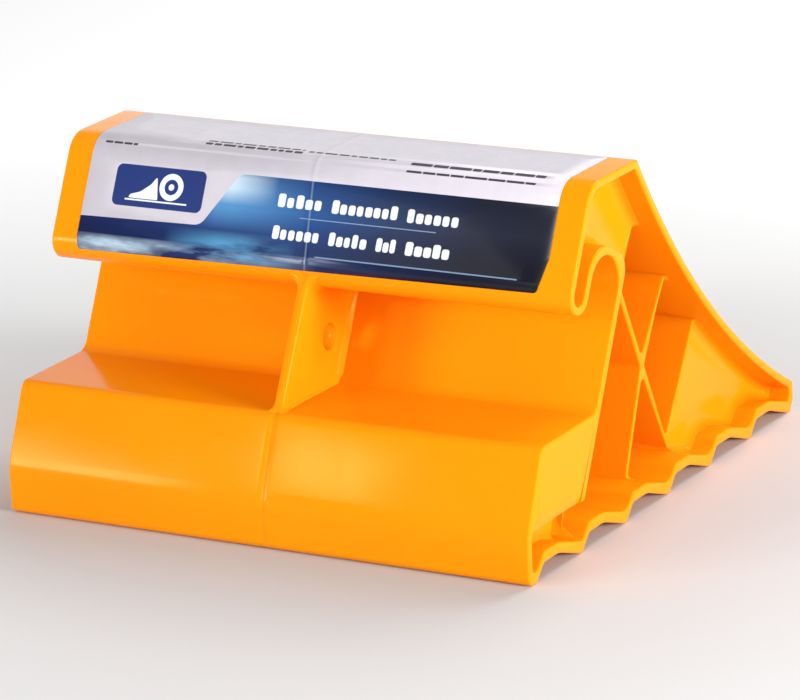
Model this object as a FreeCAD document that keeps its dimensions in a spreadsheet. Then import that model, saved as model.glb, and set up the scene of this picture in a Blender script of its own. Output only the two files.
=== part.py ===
"""Wheel chock: one injection moulding with a printed label, as a parametric FreeCAD document.

Frame: X across the chock, +Y from the handle side towards the toe, +Z up. Millimetres.
The origin is on the ground, under the middle of the bounding box.
Each wall of the moulding is a node of its own, and neighbouring walls meet face to face.
"""
import FreeCAD, Part

import os
import Sketcher

DRIVING_DIMENSIONS = {
    "width": 216.0,
    "half_length": 110.4,
    "height": 131.3,
    "wall": 3.2,
    "rib_wall": 2.6,
    "rim_recess": 12.0,
    "beyond": 2.0,
    # the tyre that the ramp fits: its tread is an arc about this centre
    "tyre_radius": 351.6,
    "tyre_y": 279.1,
    "tyre_z": 319.8,
    # the face, the wall and the braces all lean 1 across for 2 up
    "lean": 0.5,
    # the front step
    "lip_height": 18.6,
    "lip_radius": 3.0,
    "panel_top_y": -98.0,
    "shelf_start_y": -94.0,
    "step_height": 47.6,
    "step_back_y": -55.6,
    "step_radius": 2.5,
    # the hooked handle and the channel for the fingers behind it
    "top_radius": 11.0,
    "bend_y": -65.4,
    "bend_z": 93.7,
    "bend_radius": 7.2,
    "channel_z": 91.8,
    "channel_radius": 11.1,
    # the scalloped sole
    "sole_wall": 4.0,
    "first_tooth_y": -104.2,
    "tooth_pitch": 35.2,
    "tooth_depth": 5.6,
    "tooth_rise": 5.4,
    "tooth_crest": 17.0,
    "tip_land": 1.4,
    "toe_land": 0.4,
    "toe_lift": 3.4,
    # the braces and cell walls under the ramp
    "cross_y": 5.8,
    "cross_z": 46.2,
    "toe_rib_y": 33.0,
    "toe_rib_z": 28.7,
    "cell_wall_y": -8.3,
    "cell_wall_z": 91.0,
    "cell_floor_z": 82.0,
    # the end walls of the step, and how they and the leaning wall draw in at the foot
    "step_end_x": 107.2,
    "foot_cut_x": 97.0,
    "foot_cut_z": 20.0,
    # the gusset under the handle, with its hole for a lanyard
    "gusset_wall": 4.0,
    "lanyard_y": -59.4,
    "lanyard_z": 65.6,
    "lanyard_radius": 4.75,
    # the wrapped label
    "label_width": 194.0,
    "label_wall": 0.3,
    "label_back_y": -21.5,
    "label_foot_z": 97.0,
}
TOOTH_COUNT = 7
FLOOR = "dims.beyond"
COSINE = "(1/sqrt(1 + dims.lean^2))"
SINE = "(dims.lean/sqrt(1 + dims.lean^2))"
CEILING = "(dims.height - dims.wall - dims.beyond)"

doc = FreeCAD.newDocument("wheel_chock")
nodes = []


# ---------------------------------------------------------------- the sheet and its expressions

def make_sheet():
    """The driving dimensions, one aliased cell each."""
    sheet = doc.addObject("Spreadsheet::Sheet", "dims")
    for row, (alias, number) in enumerate(DRIVING_DIMENSIONS.items(), start=1):
        sheet.set(f"A{row}", alias)
        sheet.set(f"B{row}", str(number))
        sheet.setAlias(f"B{row}", alias)
    doc.recompute()
    return sheet


dims = make_sheet()


def value(expression):
    """The number that an expression over the sheet gives."""
    result = dims.evalExpression(str(expression))
    return float(getattr(result, "Value", result))


def along_lean(y, z, height):
    """Y on the leaning line through (y, z), at a height."""
    return f"({y} + dims.lean*({height} - {z}))"


def falling(y, z, height):
    """Y on the line through (y, z) that leans the other way, at a height."""
    return f"({y} - dims.lean*({height} - {z}))"


def off_axis(y, z, across, up):
    """The point across and up from (y, z), in the axes of the lean."""
    return (f"({y} + ({across})*{COSINE} + ({up})*{SINE})",
            f"({z} - ({across})*{SINE} + ({up})*{COSINE})")


HALF_RIB = f"(dims.rib_wall/(2*{COSINE}))"
WALL_ACROSS = f"(dims.wall/{COSINE})"
PANEL_LEAN = "((dims.panel_top_y + dims.half_length)/(dims.step_height - dims.lip_height))"
PANEL_ACROSS = f"(dims.wall*sqrt(1 + {PANEL_LEAN}^2))"


def wall_front(height):
    return along_lean("dims.step_back_y", "dims.step_height", height)


def wall_back(height):
    return f"({wall_front(height)} + {WALL_ACROSS})"


def toe_rib_middle(height):
    return along_lean("dims.toe_rib_y", "dims.toe_rib_z", height)


def cell_wall_middle(height):
    return along_lean("dims.cell_wall_y", "dims.cell_wall_z", height)


def panel_inside(height):
    return f"(dims.panel_top_y + {PANEL_ACROSS} + {PANEL_LEAN}*({height} - dims.step_height))"


def bend_point(across, up):
    return off_axis("dims.bend_y", "dims.bend_z", across, up)


def channel_point(across, up):
    return off_axis(f"({wall_front('dims.channel_z')} - dims.channel_radius/{COSINE})", "dims.channel_z",
                    across, up)


def tooth(number):
    return f"(dims.first_tooth_y + {number}*dims.tooth_pitch)"


# ---------------------------------------------------------------- building blocks

def origin_plane(body, role):
    return next(f for f in body.Origin.OriginFeatures if f.Role == role)


def closed_outline(body, corners, role):
    """A closed polygon on an origin plane, each corner a pair of expressions."""
    sketch = body.newObject("Sketcher::SketchObject", body.Name + "_outline")
    sketch.AttachmentSupport = (origin_plane(body, role), "")
    sketch.MapMode = "FlatFace"
    points = [FreeCAD.Vector(value(a), value(b), 0) for a, b in corners]
    for start, end in zip(points, points[1:] + points[:1]):
        sketch.addGeometry(Part.LineSegment(start, end), False)
    for edge in range(len(points)):
        after = (edge + 1) % len(points)
        sketch.addConstraint(Sketcher.Constraint("Coincident", edge, 2, after, 1))
    for edge, corner in enumerate(corners):
        for kind, expression in zip(("DistanceX", "DistanceY"), corner):
            limit = Sketcher.Constraint(kind, edge, 1, value(expression))
            name = f"{kind}_{edge}"
            sketch.renameConstraint(sketch.addConstraint(limit), name)
            sketch.setExpression(f"Constraints.{name}", str(expression))
    return sketch


def edges_at(shape, y, z):
    """Names of the edges along X through (y, z)."""
    found = []
    for number, edge in enumerate(shape.Edges, start=1):
        ends = [v.Point for v in edge.Vertexes]
        if all(abs(p.y - y) < 1e-3 and abs(p.z - z) < 1e-3 for p in ends):
            found.append(f"Edge{number}")
    return found


def round_corner(body, corner, radius):
    """Fillet the edge along X at a corner, its radius an expression."""
    base = body.Tip
    fillet = body.newObject("PartDesign::Fillet", body.Name + "_round")
    fillet.Base = (base, edges_at(base.Shape, value(corner[0]), value(corner[1])))
    fillet.setExpression("Radius", radius)
    doc.recompute()


def prism(name, corners, thickness="dims.width", middle="0", role="YZ_Plane", rounds=()):
    """A closed outline padded both ways from its plane, then moved along X to its middle."""
    body = doc.addObject("PartDesign::Body", name)
    sketch = closed_outline(body, corners, role)
    pad = body.newObject("PartDesign::Pad", body.Name + "_pad")
    pad.Profile = sketch
    pad.SideType = "Symmetric"
    pad.setExpression("Length", thickness)
    doc.recompute()
    for corner, radius in rounds:
        round_corner(body, corner, radius)
    body.setExpression("Placement.Base.x", middle)
    return body


def roller(name, radius, y, z):
    """A cylinder along X, over the full width and a little beyond."""
    cylinder = doc.addObject("Part::Cylinder", name)
    cylinder.Placement.Rotation = FreeCAD.Rotation(FreeCAD.Vector(0, 1, 0), 90)
    cylinder.setExpression("Radius", radius)
    cylinder.setExpression("Height", "dims.width + 2*dims.beyond")
    cylinder.setExpression("Placement.Base.x", "-dims.width/2 - dims.beyond")
    cylinder.setExpression("Placement.Base.y", y)
    cylinder.setExpression("Placement.Base.z", z)
    return cylinder


def combine(kind, base, tool):
    result = doc.addObject(kind, base.Name + "_trimmed")
    result.Base = base
    result.Tool = tool
    return result


def cut(base, *tools):
    for tool in tools:
        base = combine("Part::Cut", base, tool)
    return base


def common(base, tool):
    return combine("Part::Common", base, tool)


def node(label, shape):
    """Name a finished sub-part: its label is its file's name."""
    shape.Label = label
    nodes.append(shape)
    return shape


def both_ends(name, build):
    """The right and the left one of a pair of end walls."""
    for side, sign in (("right", "1"), ("left", "-1")):
        node(f"{name}_{side}", build(f"{name}_{side}", sign))


# ---------------------------------------------------------------- the tyre and the space inside

def sole_top():
    """Corners of the sole's wavy upper face, from the lip to the toe."""
    corners = [(tooth(0), "dims.sole_wall")]
    top = "(dims.sole_wall + dims.tooth_depth)"
    for number in range(TOOTH_COUNT - 1):
        corners += [(f"{tooth(number)} + dims.tooth_rise", top),
                    (f"{tooth(number)} + dims.tooth_crest", top),
                    (tooth(number + 1), "dims.sole_wall")]
    return corners


tyre = roller("tyre", "dims.tyre_radius", "dims.tyre_y", "dims.tyre_z")
ramp_inside = roller("ramp_inside", "dims.tyre_radius + dims.wall", "dims.tyre_y", "dims.tyre_z")
LIP_INSIDE = "(dims.wall - dims.half_length)"
TOE_INSIDE = "(dims.half_length - dims.wall)"
TOP_INSIDE = "(dims.height - dims.wall)"
inside = cut(prism("inside", [(LIP_INSIDE, "dims.sole_wall"), *sole_top(),
                              (TOE_INSIDE, "dims.sole_wall"), (TOE_INSIDE, TOP_INSIDE),
                              (LIP_INSIDE, TOP_INSIDE)]), ramp_inside)


# ---------------------------------------------------------------- the outer walls

def make_sole():
    """Seven saw teeth, each steep behind and gently arched in front, in one even wall."""
    under = [("-dims.half_length", "0"), (tooth(0), "0")]
    for number in range(TOOTH_COUNT - 1):
        under += [(f"{tooth(number)} + dims.tooth_rise", "dims.tooth_depth"),
                  (f"{tooth(number)} + dims.tooth_crest", "dims.tooth_depth"),
                  (f"{tooth(number + 1)} - dims.tip_land", "0"), (tooth(number + 1), "0")]
    toe = [(f"{tooth(TOOTH_COUNT - 1)} + dims.toe_land", "0"), ("dims.half_length", "dims.toe_lift"),
           ("dims.half_length", "dims.sole_wall")]
    front = [("-dims.half_length", "dims.sole_wall")]
    corners = under + toe + sole_top()[::-1] + front
    return prism("sole", corners, rounds=[(under[0], "dims.lip_radius")])


def make_ramp():
    """The tread arc from the back of the top plate down to the upright toe."""
    foot, back = "dims.sole_wall", "dims.label_back_y"
    block = prism("ramp_block", [(back, foot), ("dims.half_length", foot),
                                 ("dims.half_length", "dims.height"), (back, "dims.height")])
    hollow = prism("ramp_hollow", [(f"{back} - dims.beyond", f"{foot} - dims.beyond"),
                                   (TOE_INSIDE, f"{foot} - dims.beyond"),
                                   (TOE_INSIDE, f"dims.height + dims.beyond"),
                                   (f"{back} - dims.beyond", "dims.height + dims.beyond")])
    return cut(block, tyre, cut(hollow, ramp_inside))


def make_panel():
    """The upright lip and the sloping panel above it, turned over onto the shelf."""
    under_shelf = "(dims.step_height - dims.wall)"
    knee = f"(dims.step_height + ({LIP_INSIDE} - dims.panel_top_y - {PANEL_ACROSS})/{PANEL_LEAN})"
    crest = ("dims.panel_top_y", "dims.step_height")
    corners = [("-dims.half_length", "dims.sole_wall"), ("-dims.half_length", "dims.lip_height"), crest,
               ("dims.shelf_start_y", "dims.step_height"), ("dims.shelf_start_y", under_shelf),
               (panel_inside(under_shelf), under_shelf), (LIP_INSIDE, knee),
               (LIP_INSIDE, "dims.sole_wall")]
    return prism("panel", corners, rounds=[(crest, "dims.step_radius")])


def make_shelf():
    under = "(dims.step_height - dims.wall)"
    return prism("shelf", [("dims.shelf_start_y", "dims.step_height"), ("dims.step_back_y", "dims.step_height"),
                           (wall_front(under), under), ("dims.shelf_start_y", under)])


HOOK_END_FRONT = channel_point("dims.channel_radius", "0")
HOOK_END_BACK = channel_point("dims.channel_radius + dims.wall", "0")


def make_back_wall():
    """The leaning wall from the finger channel to the sole, cut back at its two lower corners."""
    strip = prism("wall_strip", [(wall_front(FLOOR), FLOOR), HOOK_END_FRONT, HOOK_END_BACK,
                                 (wall_back(FLOOR), FLOOR)])
    wall = common(strip, inside)
    for sign in ("1", "-1"):
        outer = f"{sign}*(dims.width/2 + dims.beyond)"
        reach = "(dims.width/2 + dims.beyond - dims.foot_cut_x)"
        wedge = prism("foot_cut", [(f"{sign}*dims.foot_cut_x", "0"), (outer, "0"),
                                   (outer, "dims.foot_cut_z + dims.beyond"),
                                   (f"{sign}*dims.foot_cut_x", f"dims.foot_cut_z + dims.beyond - {reach}")],
                      thickness="4*dims.half_length", role="XZ_Plane")
        wall = cut(wall, wedge)
    return wall


FACE_TOP = (along_lean(*bend_point("-dims.bend_radius", "0"), "dims.height"), "dims.height")
FACE_TOP_INSIDE = (along_lean(*bend_point("dims.wall - dims.bend_radius", "0"), TOP_INSIDE), TOP_INSIDE)
INNER_BEND = "(dims.bend_radius - dims.wall)"
OUTER_CHANNEL = "(dims.channel_radius + dims.wall)"
HANDLE_CELL_CORNERS = [FACE_TOP_INSIDE,
                       bend_point(f"-{INNER_BEND}", f"-{INNER_BEND}"),
                       bend_point(INNER_BEND, f"-{INNER_BEND}"),
                       channel_point(f"-{OUTER_CHANNEL}", OUTER_CHANNEL),
                       channel_point(OUTER_CHANNEL, OUTER_CHANNEL)]
HANDLE_CELL_RADII = ["dims.top_radius - dims.wall", f"0.999*{INNER_BEND}", f"0.999*{INNER_BEND}",
                     f"0.999*{OUTER_CHANNEL}", f"0.999*{OUTER_CHANNEL}"]


def make_handle():
    """Top plate, leaning face, the bend under it, and the arch over the finger channel."""
    outer = [FACE_TOP, bend_point("-dims.bend_radius", "-dims.bend_radius"),
             bend_point("dims.bend_radius", "-dims.bend_radius"),
             channel_point("-dims.channel_radius", "dims.channel_radius"),
             channel_point("dims.channel_radius", "dims.channel_radius")]
    radii = ["dims.top_radius", "0.999*dims.bend_radius", "0.999*dims.bend_radius",
             "0.999*dims.channel_radius", "0.999*dims.channel_radius"]
    corners = [("dims.label_back_y + dims.beyond", "dims.height"), *outer, HOOK_END_FRONT, HOOK_END_BACK,
               *HANDLE_CELL_CORNERS[::-1], ("dims.label_back_y + dims.beyond", TOP_INSIDE)]
    rounds = [*zip(outer, radii), *zip(HANDLE_CELL_CORNERS, HANDLE_CELL_RADII)]
    return prism("hook", corners, rounds=rounds)


# ---------------------------------------------------------------- the walls inside

INNER_WIDTH = "(dims.width - 2*dims.rim_recess)"
CELL_FLOOR_TOP = "(dims.cell_floor_z + dims.rib_wall)"


def leaning_strip(name, middle, low, high):
    return prism(name, [(f"{middle(low)} - {HALF_RIB}", low), (f"{middle(low)} + {HALF_RIB}", low),
                        (f"{middle(high)} + {HALF_RIB}", high), (f"{middle(high)} - {HALF_RIB}", high)],
                 thickness=INNER_WIDTH)


def make_toe_rib():
    return common(leaning_strip("toe_strip", toe_rib_middle, FLOOR, CEILING), inside)


def make_cell_wall():
    """Closes the handle's hollow: a ledge off the wall, then a leaning web up to the ramp."""
    corners = [(wall_back("dims.cell_floor_z"), "dims.cell_floor_z"),
               (f"{cell_wall_middle('dims.cell_floor_z')} + {HALF_RIB}", "dims.cell_floor_z"),
               (f"{cell_wall_middle(CEILING)} + {HALF_RIB}", CEILING),
               (f"{cell_wall_middle(CEILING)} - {HALF_RIB}", CEILING),
               (f"{cell_wall_middle(CELL_FLOOR_TOP)} - {HALF_RIB}", CELL_FLOOR_TOP),
               (wall_back(CELL_FLOOR_TOP), CELL_FLOOR_TOP)]
    return common(prism("cell_wall", corners, thickness=INNER_WIDTH), inside)


def make_rising_brace():
    def middle(height):
        return along_lean("dims.cross_y", "dims.cross_z", height)
    return common(leaning_strip("rising_strip", middle, FLOOR, CEILING), inside)


def make_falling_brace(rising):
    """Two lengths, above and below the brace that it crosses, ending at the toe rib's foot."""
    def middle(height):
        return falling("dims.cross_y", "dims.cross_z", height)
    strip = leaning_strip("falling_strip", middle, FLOOR, "dims.cell_floor_z")
    toe_side = prism("toe_side", [(f"{toe_rib_middle('0')} - {HALF_RIB}", "0"), (TOE_INSIDE, "0"),
                                  (TOE_INSIDE, "dims.cross_z"),
                                  (f"{toe_rib_middle('dims.cross_z')} - {HALF_RIB}", "dims.cross_z")])
    return cut(common(strip, inside), rising, toe_side)


def step_cell(name, thickness="dims.width", middle="0"):
    """The hollow of the front step."""
    under = "(dims.step_height - dims.wall)"
    knee = f"(dims.step_height + ({LIP_INSIDE} - dims.panel_top_y - {PANEL_ACROSS})/{PANEL_LEAN})"
    corners = [(LIP_INSIDE, FLOOR), (LIP_INSIDE, knee), (panel_inside(under), under),
               (wall_front(under), under), (wall_front(FLOOR), FLOOR)]
    return common(prism(name, corners, thickness, middle), inside)


def handle_cell(name, thickness, middle):
    """The hollow of the handle, from its face back to the ramp."""
    corners = [*HANDLE_CELL_CORNERS, (wall_back(CELL_FLOOR_TOP), CELL_FLOOR_TOP),
               (f"{cell_wall_middle(CELL_FLOOR_TOP)} - {HALF_RIB}", CELL_FLOOR_TOP),
               (f"{cell_wall_middle(CEILING)} - {HALF_RIB}", CEILING),
               (f"{cell_wall_middle(CEILING)} - {HALF_RIB}", TOP_INSIDE)]
    rounds = zip(HANDLE_CELL_CORNERS, HANDLE_CELL_RADII)
    return cut(prism(name, corners, thickness, middle, rounds=rounds), ramp_inside)


def toe_cell(name, thickness, middle):
    """The hollow between the toe rib, the ramp and the sole."""
    corners = [(f"{toe_rib_middle(FLOOR)} + {HALF_RIB}", FLOOR), (TOE_INSIDE, FLOOR),
               (TOE_INSIDE, CEILING), (f"{toe_rib_middle(CEILING)} + {HALF_RIB}", CEILING)]
    return common(prism(name, corners, thickness, middle), inside)


def brace_cell(name, thickness, middle):
    """The hollow between the wall and the toe rib, which the two braces cross."""
    corners = [(wall_back(FLOOR), FLOOR), (wall_back("dims.cell_floor_z"), "dims.cell_floor_z"),
               (f"{cell_wall_middle('dims.cell_floor_z')} + {HALF_RIB}", "dims.cell_floor_z"),
               (f"{cell_wall_middle(CEILING)} + {HALF_RIB}", CEILING),
               (f"{toe_rib_middle(CEILING)} - {HALF_RIB}", CEILING),
               (f"{toe_rib_middle(FLOOR)} - {HALF_RIB}", FLOOR)]
    return common(prism(name, corners, thickness, middle), inside)


def recessed(sign):
    """Where an end wall's middle lies, in from the rim by the recess."""
    return f"{sign}*(dims.width/2 - dims.rim_recess - dims.rib_wall/2)"


def handle_end(name, sign):
    return handle_cell(name + "_wall", "dims.rib_wall", recessed(sign))


def toe_end(name, sign):
    return toe_cell(name + "_wall", "dims.rib_wall", recessed(sign))


def step_end(name, sign):
    """A wall flush with the end of the shelf, drawn in at its foot to leave a strip of the sole."""
    under = "(dims.step_height - dims.wall)"
    knee = "(dims.foot_cut_z - dims.width/2 + dims.step_end_x)"
    toe = "(dims.foot_cut_z - dims.width/2 + dims.foot_cut_x)"
    inner, inner_foot = "(dims.step_end_x - dims.rib_wall)", "(dims.foot_cut_x - dims.rib_wall)"
    profile = [("dims.step_end_x", under), ("dims.step_end_x", knee), ("dims.foot_cut_x", toe),
               ("dims.foot_cut_x", FLOOR), (inner_foot, FLOOR), (inner_foot, f"({toe} + dims.rib_wall/2)"),
               (inner, f"({knee} + dims.rib_wall/2)"), (inner, under)]
    slab = prism(name + "_slab", [(f"{sign}*{x}", z) for x, z in profile],
                 thickness="4*dims.half_length", role="XZ_Plane")
    return common(slab, step_cell(name + "_cell"))


# ---------------------------------------------------------------- the gusset and the label

def make_gusset():
    """Carries the handle on the step at mid-width, in line with the handle's face."""
    face_foot = along_lean(*bend_point("-dims.bend_radius", "0"), "dims.step_height")
    channel_corners = [channel_point("dims.channel_radius", "dims.channel_radius"),
                       channel_point("-dims.channel_radius", "dims.channel_radius")]
    corners = [(face_foot, "dims.step_height"), ("dims.step_back_y", "dims.step_height"),
               HOOK_END_FRONT, *channel_corners,
               bend_point("dims.bend_radius", "0"), bend_point("-dims.bend_radius", "0")]
    rounds = [(corner, "0.999*dims.channel_radius") for corner in channel_corners]
    plate = prism("gusset", corners, "dims.gusset_wall", rounds=rounds)
    bend = roller("bend", "dims.bend_radius", "dims.bend_y", "dims.bend_z")
    hole = roller("lanyard_hole", "dims.lanyard_radius", "dims.lanyard_y", "dims.lanyard_z")
    return cut(plate, bend, hole)


def make_label():
    """Wrapped over the top plate and down the leaning face."""
    skin = "(dims.bend_radius + dims.label_wall)"
    outer_top = "(dims.height + dims.label_wall)"
    outer_corner = (along_lean(*bend_point(f"-{skin}", "0"), outer_top), outer_top)
    foot_y = along_lean(*bend_point("-dims.bend_radius", "0"), "dims.label_foot_z")
    outer_foot = off_axis(foot_y, "dims.label_foot_z", "-dims.label_wall", "0")
    corners = [("dims.label_back_y", "dims.height"), ("dims.label_back_y", outer_top), outer_corner,
               outer_foot, (foot_y, "dims.label_foot_z"), FACE_TOP]
    rounds = [(outer_corner, "dims.top_radius + dims.label_wall"), (FACE_TOP, "dims.top_radius")]
    return prism("label", corners, "dims.label_width", rounds=rounds)


# ---------------------------------------------------------------- assembly

def check_and_write():
    """Stop on any failed object or bad shape, then write one STEP file per node."""
    doc.recompute()
    for item in doc.Objects:
        if {"Invalid", "Error"} & set(item.State):
            raise RuntimeError(f"{item.Name} failed: {item.State}")
    os.makedirs("parts", exist_ok=True)
    for item in nodes:
        if item.Shape.isNull() or not item.Shape.isValid() or not item.Shape.Solids:
            raise RuntimeError(f"{item.Label} has a bad shape")
        item.Shape.exportStep(f"parts/{item.Label}.step")
        print(f"{item.Label}: {len(item.Shape.Solids)} solids, {item.Shape.Volume:.0f} mm3")


node("scalloped_sole", make_sole())
ramp = node("tyre_ramp", make_ramp())
node("front_panel", make_panel())
node("step_shelf", make_shelf())
node("back_wall", make_back_wall())
node("handle_grip", cut(make_handle(), ramp))
node("toe_rib", make_toe_rib())
node("handle_cell_wall", make_cell_wall())
rising_brace = node("rising_brace", make_rising_brace())
falling_brace = node("falling_brace", make_falling_brace(rising_brace))
both_ends("handle_end", handle_end)
both_ends("step_end", step_end)
both_ends("toe_end", toe_end)
node("step_web", step_cell("step_web_cell", "dims.rib_wall"))
node("handle_web", handle_cell("handle_web_cell", "dims.rib_wall", "0"))
node("toe_web", toe_cell("toe_web_cell", "dims.rib_wall", "0"))
node("brace_web", cut(brace_cell("brace_web_cell", "dims.rib_wall", "0"), rising_brace, falling_brace))
node("handle_gusset", make_gusset())
node("printed_label", make_label())
check_and_write()
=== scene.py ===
"""Wheel chock: the moulding's walls with their fillets, rounded rims and end walls, and the printed label."""
import math

import bmesh
import bpy
import numpy as np
from mathutils import Matrix, Vector
from mathutils.geometry import delaunay_2d_cdt


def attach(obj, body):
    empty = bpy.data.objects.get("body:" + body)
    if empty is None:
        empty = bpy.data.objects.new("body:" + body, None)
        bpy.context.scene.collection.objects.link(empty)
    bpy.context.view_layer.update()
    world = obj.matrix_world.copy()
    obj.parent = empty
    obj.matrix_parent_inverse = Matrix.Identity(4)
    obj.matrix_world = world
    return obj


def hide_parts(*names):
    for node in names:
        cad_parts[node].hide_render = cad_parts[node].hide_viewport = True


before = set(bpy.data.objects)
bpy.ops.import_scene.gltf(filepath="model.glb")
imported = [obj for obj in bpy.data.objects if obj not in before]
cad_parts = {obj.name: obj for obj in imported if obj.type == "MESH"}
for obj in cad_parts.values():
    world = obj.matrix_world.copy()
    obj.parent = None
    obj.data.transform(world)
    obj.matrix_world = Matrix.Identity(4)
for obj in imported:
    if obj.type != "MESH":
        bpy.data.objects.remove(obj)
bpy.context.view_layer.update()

MM = 0.001
LEAN = math.atan(0.5)
ALONG = np.array([math.sin(LEAN), math.cos(LEAN)])      # up the lean, in (y, z)
ACROSS = np.array([math.cos(LEAN), -math.sin(LEAN)])    # across it, towards the toe

# the design's own dimensions, millimetres; the height is the moulding's, without the label
HALF_WIDTH, HALF_LENGTH, HEIGHT = 108.0, 110.4, 131.3
WALL, RIB = 3.2, 2.6
WALL_DEPTH = WALL / math.cos(LEAN)                       # the leaning wall measured along Y
TYRE, TYRE_RADIUS = np.array([279.1, 319.8]), 351.6
STEP_HEIGHT, WALL_FOOT_Y = 47.6, -55.6
SHELF_FRONT_Y, LIP_TOP_Z = -98.0, 18.6
RECESS = 12.0
BEND, BEND_RADIUS = np.array([-65.4, 93.7]), 7.2
CHANNEL_RADIUS = 11.1
CORNER_RADIUS = 11.0
CHANNEL_Z = 91.8
CHANNEL = np.array([WALL_FOOT_Y + 0.5 * (CHANNEL_Z - STEP_HEIGHT) - CHANNEL_RADIUS / math.cos(LEAN), CHANNEL_Z])
FIRST_TOOTH, PITCH, TEETH = -104.2, 35.2, 7
TOOTH_DEPTH, SOLE = 5.6, 4.0
RISE_END, FALL_START = 5.4, 17.0                         # the raised stretch behind each tip, on the upper side
LANYARD_HOLE, LANYARD_RADIUS = np.array([-59.4, 65.6]), 4.75
GUSSET_HALF, GUSSET_RIM = 2.0, 1.8
RIM = 0.9                                                # the rounding of the moulding's free edges


# ------------------------------------------------------------ outlines in (y, z)

def wall_y(z):
    """The front of the leaning wall."""
    return WALL_FOOT_Y + 0.5 * (z - STEP_HEIGHT)


def wall_back_y(z):
    """The back of the leaning wall."""
    return wall_y(z) + WALL_DEPTH


def ramp_y(z, radius):
    """The ramp's arc, or one beneath it, at a height."""
    return TYRE[0] - math.sqrt(radius ** 2 - (TYRE[1] - z) ** 2)


def ramp_z(y, radius):
    """The height of that arc at a place along Y."""
    return TYRE[1] - math.sqrt(radius ** 2 - (TYRE[0] - y) ** 2)


def off(centre, across, up):
    """A point some way across the lean and up it from a centre."""
    return centre + across * ACROSS + up * ALONG


def face_y(z, depth=0.0):
    """The handle's leaning face, or a depth behind it."""
    y, z0 = off(BEND, depth - BEND_RADIUS, 0)
    return y + 0.5 * (z - z0)


def rounded(corners, step=math.radians(11)):
    """A closed outline: each corner is (y, z, radius), and its arc shrinks where the sides are short."""
    points = []
    count = len(corners)
    at = [np.array(c[:2], float) for c in corners]
    for i, corner in enumerate(corners):
        here, before, after = at[i], at[i - 1], at[(i + 1) % count]
        a, b = before - here, after - here
        la, lb = np.linalg.norm(a), np.linalg.norm(b)
        radius = corner[2]
        a, b = a / la, b / lb
        angle = math.acos(max(-1.0, min(1.0, float(a @ b))))
        turn = math.pi - angle
        if radius <= 0 or turn < 1e-3:
            points.append(here)
            continue
        reach = min(radius * math.tan(turn / 2), 0.499 * la, 0.499 * lb)
        radius = reach / math.tan(turn / 2)
        centre = here + (a + b) / np.linalg.norm(a + b) * radius / math.cos(turn / 2)
        start, end = here + a * reach - centre, here + b * reach - centre
        steps = max(2, math.ceil(turn / step))
        sign = 1.0 if start[0] * end[1] - start[1] * end[0] > 0 else -1.0
        for k in range(steps + 1):
            t = sign * turn * k / steps
            points.append(centre + np.array([start[0] * math.cos(t) - start[1] * math.sin(t),
                                             start[0] * math.sin(t) + start[1] * math.cos(t)]))
    return np.array(points)


def turned(outline, anticlockwise=True):
    """The outline, reversed if it runs the other way round."""
    y, z = outline[:, 0], outline[:, 1]
    area = float(np.sum(y * np.roll(z, -1) - np.roll(y, -1) * z))
    return outline if (area > 0) == anticlockwise else outline[::-1]


def clean(outline, least=0.02):
    """Drop points that repeat the one before."""
    keep = [outline[0]]
    for p in outline[1:]:
        if np.linalg.norm(p - keep[-1]) > least:
            keep.append(p)
    if np.linalg.norm(keep[0] - keep[-1]) <= least:
        keep.pop()
    return np.array(keep)


def inset(outline, distance):
    """Move each point of an anticlockwise outline to its left, into the shape."""
    edge = np.roll(outline, -1, axis=0) - outline
    edge = edge / np.linalg.norm(edge, axis=1)[:, None]
    normal = np.stack([-edge[:, 1], edge[:, 0]], axis=1)
    mean = normal + np.roll(normal, 1, axis=0)
    length = np.linalg.norm(mean, axis=1)[:, None]
    mean = mean / np.maximum(length, 1e-6)
    lean = np.maximum(np.sum(mean * normal, axis=1)[:, None], 0.5)
    return outline + mean * distance / lean


def contains(outline, points):
    """Which points lie inside a closed outline."""
    y, z = points[:, 0][:, None], points[:, 1][:, None]
    a, b = outline, np.roll(outline, -1, axis=0)
    crosses = (a[:, 1] > z) != (b[:, 1] > z)
    with np.errstate(divide="ignore", invalid="ignore"):
        at = a[:, 0] + (z - a[:, 1]) * (b[:, 0] - a[:, 0]) / (b[:, 1] - a[:, 1])
    return np.sum(crosses & (y < at), axis=1) % 2 == 1


def distance_to(outline, points):
    """How far each point lies from a closed outline."""
    a, b = outline, np.roll(outline, -1, axis=0)
    ab = b - a
    t = np.einsum("pqk,qk->pq", points[:, None] - a[None], ab) / np.sum(ab * ab, axis=1)
    near = a[None] + np.clip(t, 0, 1)[..., None] * ab[None]
    return np.min(np.linalg.norm(points[:, None] - near, axis=2), axis=1)


def triangulate(loops, loose=()):
    """Delaunay triangles between the loops: the first is the outside, the rest are holes."""
    points, edges = [], []
    for loop in loops:
        start = len(points)
        points += [Vector(p) for p in loop]
        edges += [(start + k, start + (k + 1) % len(loop)) for k in range(len(loop))]
    points += [Vector(p) for p in loose]
    found, _, faces, _, _, _ = delaunay_2d_cdt(points, edges, [], 0, 1e-5)
    found = np.array([tuple(p) for p in found])
    centres = np.array([found[list(f)].mean(axis=0) for f in faces])
    inside = contains(loops[0], centres)
    for hole in loops[1:]:
        inside &= ~contains(hole, centres)
    return found, [tuple(f) for f, ok in zip(faces, inside) if ok]


# ------------------------------------------------------------ meshes

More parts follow.
